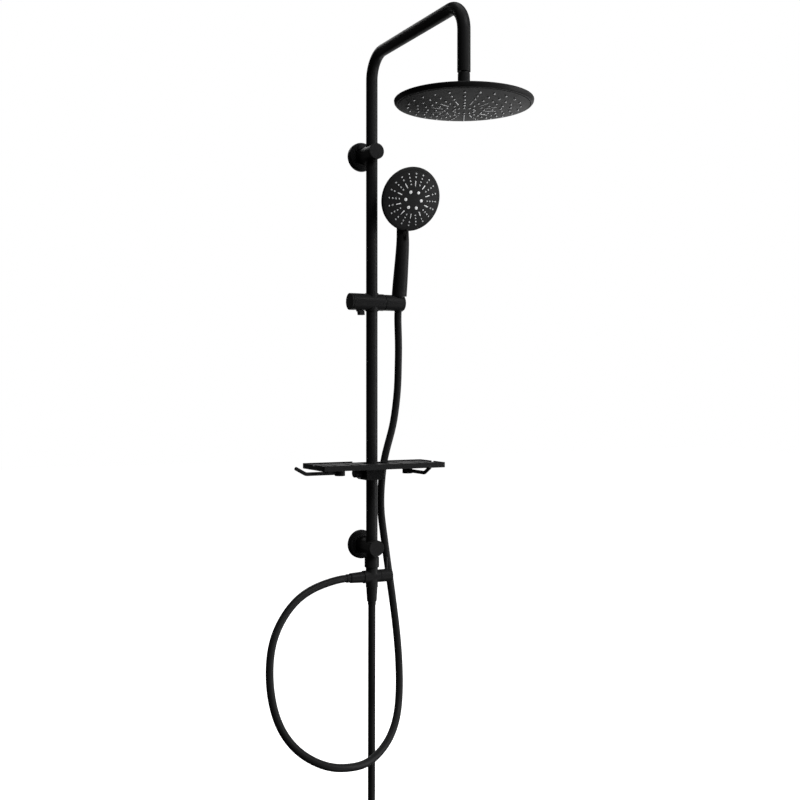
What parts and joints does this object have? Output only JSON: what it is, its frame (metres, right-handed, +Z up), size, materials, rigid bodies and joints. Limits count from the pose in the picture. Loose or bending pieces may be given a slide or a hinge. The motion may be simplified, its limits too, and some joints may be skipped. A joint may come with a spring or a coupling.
{
  "type": "rainfall shower column",
  "caption": "Wall-mounted shower column: black riser with an overhead rain head, a sliding hand shower on a hose, a clamped shelf with swivel hooks and a diverter valve.",
  "frame": {"origin": "centre of the lower wall bracket's flat wall face", "axes": "+Z up along the riser, -Y out from the wall into the room, +X to the right as seen from the room"},
  "size_m": [0.3913, 0.555, 1.6765],
  "materials": {
    "satin_black_metal": "satin black paint, fine texture",
    "satin_black_plastic": "satin black moulded plastic",
    "black_hose": "smooth black hose skin",
    "face_black": "satin black face",
    "silicone": "pale grey silicone",
    "seal_rubber": "black rubber seal",
    "steel": "plain steel",
    "brass": "turned brass"
  },
  "bodies": {
    "column": {"riser_tube": "satin_black_metal", "overhead_arm_tube": "satin_black_metal", "riser_coupling": "brass", "arm_end_insert": "satin_black_metal", "filter_washer": "seal_rubber", "ball_stem": "satin_black_metal", "lower_wall_plate": "steel", "lower_wall_screw_left": "steel", "lower_wall_screw_right": "steel", "lower_flange": "satin_black_metal", "lower_bracket_body": "satin_black_metal", "lower_bracket_cap": "satin_black_metal", "lower_grub_screw": "steel", "riser_union_nut": "satin_black_metal", "union_washer": "seal_rubber", "diverter_body": "satin_black_metal", "outlet_nut": "satin_black_metal", "outlet_washer": "seal_rubber", "outlet_ferrule": "satin_black_metal", "inlet_nut": "satin_black_metal", "inlet_washer": "seal_rubber", "supply_hose": "black_hose", "supply_hose_nut": "satin_black_metal", "shower_hose": "black_hose"},
    "upper_bracket": {"upper_wall_plate": "steel", "upper_wall_screw_left": "steel", "upper_wall_screw_right": "steel", "upper_flange": "satin_black_metal", "upper_bracket_body": "satin_black_metal", "upper_bracket_cap": "satin_black_metal", "upper_grub_screw": "steel"},
    "ball_seat": {"ball_seal_cup": "seal_rubber"},
    "ball_housing": {"ball_collar": "satin_black_metal"},
    "rain_head": {"rain_head_shell": "satin_black_plastic", "rain_head_face": "face_black", "rain_head_nozzle_mat": "silicone", "rain_head_seal": "seal_rubber"},
    "slider": {"slider_body": "satin_black_metal", "slider_bush": "face_black", "slider_end_cap": "satin_black_metal", "slider_spring": "steel"},
    "lock_tab": {"slider_brake_plunger": "face_black", "slider_lock_tab": "satin_black_metal"},
    "cradle": {"cradle": "satin_black_metal", "cradle_friction_ring": "face_black"},
    "handset": {"handset_shell": "satin_black_plastic", "handset_face": "face_black", "handset_nozzle_plate": "silicone", "handset_washer": "seal_rubber", "hose_top_nut": "satin_black_metal"},
    "selector": {"handset_selector": "satin_black_plastic", "handset_spray_disc": "face_black"},
    "diverter_control": {"diverter_knob": "satin_black_metal", "diverter_lever": "satin_black_metal", "diverter_spindle": "brass"},
    "shelf": {"shelf_tray": "satin_black_plastic", "shelf_clamp": "satin_black_metal"},
    "clamp_knob": {"shelf_clamp_knob": "satin_black_metal"},
    "left_hook": {"left_hook": "satin_black_metal"},
    "right_hook": {"right_hook": "satin_black_metal"}
  },
  "joints": [
    {"name": "upper_bracket_slide", "type": "slide", "parent": "column", "child": "upper_bracket", "axis": [0, 0, 1], "range_m": [-0.01, 0.1]},
    {"name": "rain_head_tilt", "type": "hinge", "parent": "column", "child": "ball_seat", "pos_m": [0, -0.43, 0.883], "axis": [1, 0, 0], "range_deg": [-6, 6]},
    {"name": "rain_head_sway", "type": "hinge", "parent": "ball_seat", "child": "ball_housing", "pos_m": [0, -0.43, 0.883], "axis": [0, 1, 0], "range_deg": [-6, 6]},
    {"name": "rain_head_spin", "type": "hinge", "parent": "ball_housing", "child": "rain_head", "pos_m": [0, -0.43, 0.866], "axis": [0, 0, 1], "continuous": true},
    {"name": "slider_height", "type": "slide", "parent": "column", "child": "slider", "axis": [0, 0, 1], "range_m": [-0.13, 0.05], "deforming": ["shower_hose"]},
    {"name": "lock_tab_pull", "type": "slide", "parent": "slider", "child": "lock_tab", "axis": [-1, 0, 0], "range_m": [0, 0.003], "stiffness_N_per_m": 2000, "springref_m": -0.001, "deforming": ["slider_spring"]},
    {"name": "cradle_tilt", "type": "hinge", "parent": "slider", "child": "cradle", "pos_m": [0.05, -0.056, 0.51], "axis": [1, 0, 0], "range_deg": [-3, 30], "deforming": ["shower_hose"]},
    {"name": "handset_lift", "type": "slide", "parent": "cradle", "child": "handset", "axis": [0, -0.1564, 0.9877], "range_m": [0, 0.045], "deforming": ["shower_hose"]},
    {"name": "spray_select", "type": "hinge", "parent": "handset", "child": "selector", "pos_m": [0.063, -0.12249, 0.71755], "axis": [0, -0.9455, -0.3256], "range_deg": [-18, 18]},
    {"name": "diverter_turn", "type": "hinge", "parent": "column", "child": "diverter_control", "pos_m": [0.03, -0.056, -0.061], "axis": [1, 0, 0], "range_deg": [0, 90]},
    {"name": "shelf_height", "type": "slide", "parent": "column", "child": "shelf", "axis": [0, 0, 1], "range_m": [-0.06, 0.04]},
    {"name": "shelf_clamp_turn", "type": "hinge", "parent": "shelf", "child": "clamp_knob", "pos_m": [-0.03, -0.056, 0.1555], "axis": [1, 0, 0], "continuous": true},
    {"name": "left_hook_swivel", "type": "hinge", "parent": "shelf", "child": "left_hook", "pos_m": [-0.0866, -0.086, 0.1595], "axis": [0, 0, 1], "range_deg": [-20, 90]},
    {"name": "right_hook_swivel", "type": "hinge", "parent": "shelf", "child": "right_hook", "pos_m": [0.068, -0.086, 0.1595], "axis": [0, 0, 1], "range_deg": [-20, 90]}
  ]
}
